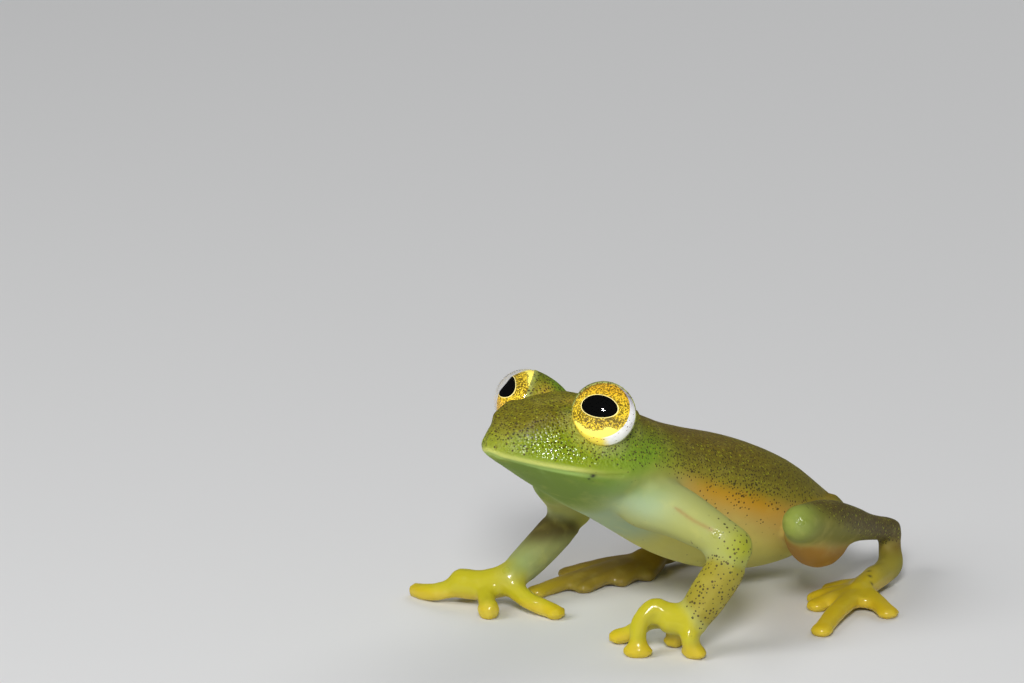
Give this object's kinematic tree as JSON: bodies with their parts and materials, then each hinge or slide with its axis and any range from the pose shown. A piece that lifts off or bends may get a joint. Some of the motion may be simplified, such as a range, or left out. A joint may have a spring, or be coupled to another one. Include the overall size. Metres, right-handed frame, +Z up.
{
  "type": "glass frog model",
  "caption": "Life-size still model of a small tree-dwelling glass frog crouching with its head raised, hands and feet spread on a flat surface.",
  "frame": {"origin": "middle of the bounding box's base, on the surface the frog rests on", "axes": "the frog faces -Y, its left side is +X, and +Z is up"},
  "size_m": [0.0208, 0.026, 0.0138],
  "materials": {
    "back_skin": "moist, finely granular",
    "limb_skin": "moist, smooth",
    "hand_skin": "moist, smooth",
    "eye": "glossy"
  },
  "bodies": {
    "root": {"head": "back_skin", "torso": "back_skin", "eye_left": "eye", "upper_arm_left": "limb_skin", "forearm_left": "limb_skin", "hand_left": "hand_skin", "thigh_left": "limb_skin", "shank_left": "limb_skin", "tarsus_left": "limb_skin", "foot_left": "hand_skin", "eye_right": "eye", "upper_arm_right": "limb_skin", "forearm_right": "limb_skin", "hand_right": "hand_skin", "thigh_right": "limb_skin", "shank_right": "limb_skin", "tarsus_right": "limb_skin", "foot_right": "hand_skin"}
  },
  "joints": []
}
